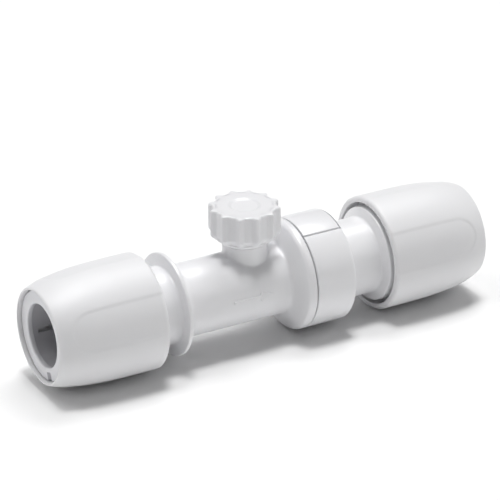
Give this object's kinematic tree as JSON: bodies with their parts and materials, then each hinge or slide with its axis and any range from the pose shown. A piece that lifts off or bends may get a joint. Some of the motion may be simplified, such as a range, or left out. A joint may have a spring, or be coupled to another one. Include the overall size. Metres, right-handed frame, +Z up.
{
  "type": "push fit coupling",
  "caption": "White plastic push-fit pipe coupling with barrel caps, sprung check valves inside and a fluted test cap on a short boss.",
  "frame": {"origin": "on the pipe axis at the inlet's pipe stop, where the inlet pipe's end comes to rest", "axes": "+X along the flow from inlet to outlet, +Z up along the test point"},
  "size_m": [0.116, 0.0286, 0.0353],
  "materials": {
    "body_plastic": "semi-gloss white moulding",
    "cap_plastic": "satin white moulding",
    "collar_plastic": "satin",
    "valve_plastic": "natural acetal",
    "poppet_plastic": "satin",
    "seal_rubber": "matt",
    "stainless": "bright spring steel"
  },
  "bodies": {
    "body": {"inlet_body": "body_plastic", "outlet_body": "body_plastic", "joint_seal": "seal_rubber", "joint_lock_clip": "body_plastic", "chamber_spacer": "valve_plastic", "inlet_pipe_seal": "seal_rubber", "inlet_valve_housing": "valve_plastic", "inlet_housing_seal": "seal_rubber", "inlet_spring_guide": "valve_plastic", "inlet_valve_spring": "stainless", "outlet_pipe_seal": "seal_rubber", "outlet_valve_housing": "valve_plastic", "outlet_housing_seal": "seal_rubber", "outlet_spring_guide": "valve_plastic", "outlet_valve_spring": "stainless"},
    "test_washer": {"test_cap_washer": "seal_rubber"},
    "test_cap": {"test_cap": "body_plastic", "test_plug_seal": "seal_rubber"},
    "inlet_grip_rings": {"inlet_grab_ring": "stainless", "inlet_spacer_ring": "valve_plastic"},
    "inlet_cap": {"inlet_retaining_cap": "cap_plastic"},
    "inlet_collar": {"inlet_release_collar": "collar_plastic"},
    "inlet_poppet": {"inlet_poppet": "poppet_plastic", "inlet_poppet_seal": "seal_rubber"},
    "outlet_grip_rings": {"outlet_grab_ring": "stainless", "outlet_spacer_ring": "valve_plastic"},
    "outlet_cap": {"outlet_retaining_cap": "cap_plastic"},
    "outlet_collar": {"outlet_release_collar": "collar_plastic"},
    "outlet_poppet": {"outlet_poppet": "poppet_plastic", "outlet_poppet_seal": "seal_rubber"}
  },
  "joints": [
    {"name": "inlet_cap_travel", "type": "slide", "parent": "body", "child": "inlet_grip_rings", "axis": [-1, 0, 0], "range_m": [0, 0.0106]},
    {"name": "inlet_cap_turn", "type": "hinge", "parent": "inlet_grip_rings", "child": "inlet_cap", "pos_m": [0, 0, 0], "axis": [-1, 0, 0], "range_deg": [0, 1260]},
    {"name": "inlet_collar_press", "type": "slide", "parent": "inlet_grip_rings", "child": "inlet_collar", "axis": [1, 0, 0], "range_m": [0, 0.0015]},
    {"name": "inlet_poppet_lift", "type": "slide", "parent": "body", "child": "inlet_poppet", "axis": [1, 0, 0], "range_m": [0, 0.0035], "stiffness_N_per_m": 80, "springref_m": -0.002, "deforming": ["inlet_valve_spring"]},
    {"name": "outlet_cap_travel", "type": "slide", "parent": "body", "child": "outlet_grip_rings", "axis": [1, 0, 0], "range_m": [0, 0.0106]},
    {"name": "outlet_cap_turn", "type": "hinge", "parent": "outlet_grip_rings", "child": "outlet_cap", "pos_m": [0.062, 0, 0], "axis": [1, 0, 0], "range_deg": [0, 1260]},
    {"name": "outlet_collar_press", "type": "slide", "parent": "outlet_grip_rings", "child": "outlet_collar", "axis": [-1, 0, 0], "range_m": [0, 0.0015]},
    {"name": "outlet_poppet_lift", "type": "slide", "parent": "body", "child": "outlet_poppet", "axis": [1, 0, 0], "range_m": [0, 0.0035], "stiffness_N_per_m": 80, "springref_m": -0.002, "deforming": ["outlet_valve_spring"]},
    {"name": "test_cap_travel", "type": "slide", "parent": "body", "child": "test_washer", "axis": [0, 0, 1], "range_m": [0, 0.0053]},
    {"name": "test_cap_turn", "type": "hinge", "parent": "test_washer", "child": "test_cap", "pos_m": [0.02767, 0, 0.0118], "axis": [0, 0, 1], "range_deg": [0, 1260]}
  ],
  "couplings": [
    {"joint": "inlet_cap_travel", "follows": "inlet_cap_turn", "m_per_rad": 0.00047746},
    {"joint": "outlet_cap_travel", "follows": "outlet_cap_turn", "m_per_rad": 0.00047746},
    {"joint": "test_cap_travel", "follows": "test_cap_turn", "m_per_rad": 0.00023873}
  ]
}
